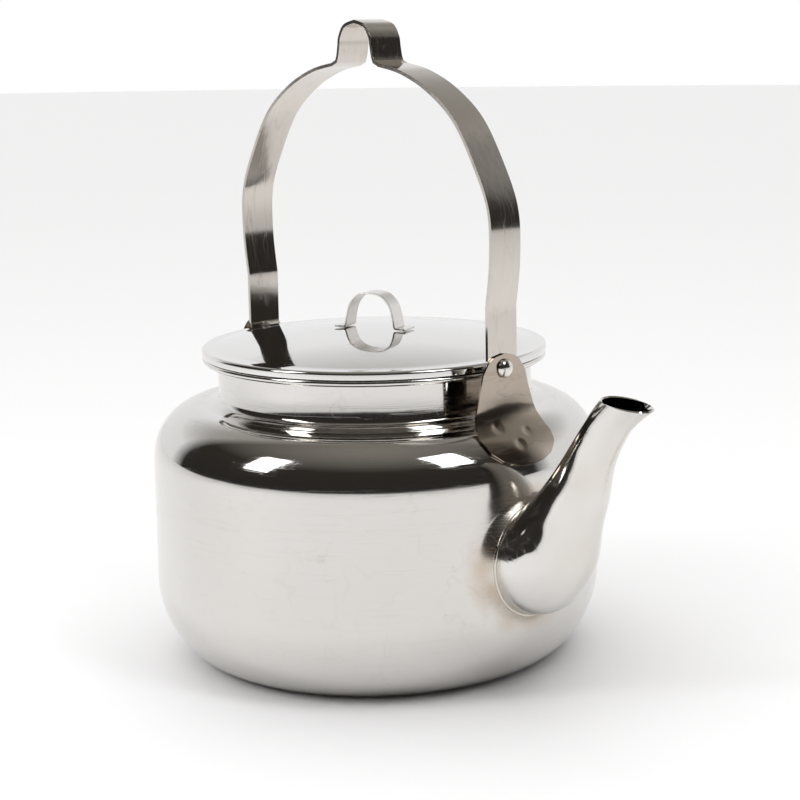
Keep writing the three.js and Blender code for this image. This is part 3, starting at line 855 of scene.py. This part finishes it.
strap_steel = strip_finish("rolled_strap", (0.70, 0.665, 0.62, 1), (0.50, 0.46, 0.41, 1), (1, 7, 1), 0.08)
loop_steel = strip_finish("rolled_loop", (0.80, 0.78, 0.75, 1), (0.62, 0.59, 0.56, 1), (1, 7, 1), 0.10)
ear_steel = strip_finish("tinted_ear", (0.52, 0.46, 0.39, 1), (0.34, 0.285, 0.23, 1), (1, 1, 5), 0.10)
rivet_steel = strip_finish("rivet_head", (0.82, 0.80, 0.77, 1), (0.62, 0.59, 0.55, 1), (1, 3, 3), 0.12)
painted(bail, strap_steel)
painted(bpy.data.objects["lid_loop_smooth"], loop_steel)
for ear in ears:
    painted(ear, ear_steel)
for rivet in rivets:
    painted(rivet, rivet_steel)

# %% [markdown]
# ## The studio
# A white floor, two soft boxes and a dim room in front, with a white wall behind. The wall and
# room are in the world's light, so they show only as reflections.

# %% Floor
floor_mesh = bmesh.new()
bmesh.ops.create_circle(floor_mesh, cap_ends=True, segments=96, radius=9000)
bmesh.ops.scale(floor_mesh, vec=(MM, MM, MM), verts=floor_mesh.verts)
floor_data = bpy.data.meshes.new("studio_floor")
floor_mesh.to_mesh(floor_data)
floor_mesh.free()
floor = bpy.data.objects.new("studio_floor", floor_data)
floor.location.z = -0.0004
bpy.context.scene.collection.objects.link(floor)
paper = bpy.data.materials.new("white_paper")
paper.use_nodes = True
paper.node_tree.nodes["Principled BSDF"].inputs["Base Color"].default_value = (0.93, 0.93, 0.94, 1)
paper.node_tree.nodes["Principled BSDF"].inputs["Roughness"].default_value = 0.6
floor_data.materials.append(paper)

# %% Soft boxes


def soft_box(name, azimuth, elevation, distance, width, height, watts, mirrored_too=True):
    """An area light that faces the kettle from a direction in degrees."""
    a, e = math.radians(azimuth), math.radians(elevation)
    toward = Vector((math.cos(a) * math.cos(e), math.sin(a) * math.cos(e), math.sin(e)))
    data = bpy.data.lights.new(name, "AREA")
    data.shape, data.size, data.size_y, data.energy = "RECTANGLE", width, height, watts
    light = bpy.data.objects.new(name, data)
    light.location = toward * distance + Vector((0, 0, 0.12))
    light.rotation_mode = "QUATERNION"
    light.rotation_quaternion = toward.to_track_quat("Z", "Y")
    light.visible_glossy = mirrored_too
    light.visible_camera = False
    bpy.context.scene.collection.objects.link(light)
    print(name, "at", [round(x, 2) for x in light.location])


soft_box("left_box", -106, 36, 1.7, 0.40, 0.75, 5)
soft_box("right_box", 6, 48, 1.7, 0.45, 0.75, 5)

skylight = bpy.data.objects.new("skylight", bpy.data.lights.new("skylight", "SUN"))
skylight.data.energy = 2.35
skylight.data.angle = math.radians(100)
skylight.visible_glossy = False
skylight.rotation_euler = (math.radians(12), math.radians(-8), 0)
bpy.context.scene.collection.objects.link(skylight)

# %% World


def studio_world():
    world = bpy.data.worlds.new("studio")
    bpy.context.scene.world = world
    world.use_nodes = True
    sky = Recipe(world.node_tree)
    heading = sky.node("ShaderNodeTexCoord", {}, output=0)
    x, y, z = (sky.node("ShaderNodeSeparateXYZ", {}, heading, output=i) for i in range(3))
    behind = (y * 0.819 - x * 0.574).between(0.2, 0.4)
    room = sky.node("ShaderNodeValToRGB", {"stops": [
        (0.0, (0.75, 0.74, 0.73, 1)), (0.47, (0.75, 0.74, 0.73, 1)), (0.485, (0.028, 0.026, 0.025, 1)),
        (0.80, (0.035, 0.03, 0.025, 1)), (0.93, (0.16, 0.15, 0.135, 1)),
        (1.0, (0.24, 0.225, 0.20, 1))]}, z * 0.5 + 0.5)
    wall = sky.node("ShaderNodeValToRGB", {"stops": [
        (0.0, (0.9, 0.9, 0.9, 1)), (0.66, (0.92, 0.92, 0.93, 1)), (0.80, (0.45, 0.44, 0.42, 1)),
        (1.0, (0.24, 0.225, 0.20, 1))]}, z * 0.5 + 0.5)
    mirrored_room = blended(sky, behind, room, wall)
    seen = sky.node("ShaderNodeLightPath", {}, output=0)
    colour = blended(sky, seen, mirrored_room, (1, 1, 1, 1))
    background = world.node_tree.nodes["Background"]
    world.node_tree.links.new(colour.socket, background.inputs["Color"])


studio_world()
bpy.context.scene.view_settings.view_transform = "Standard"
print("studio ready")
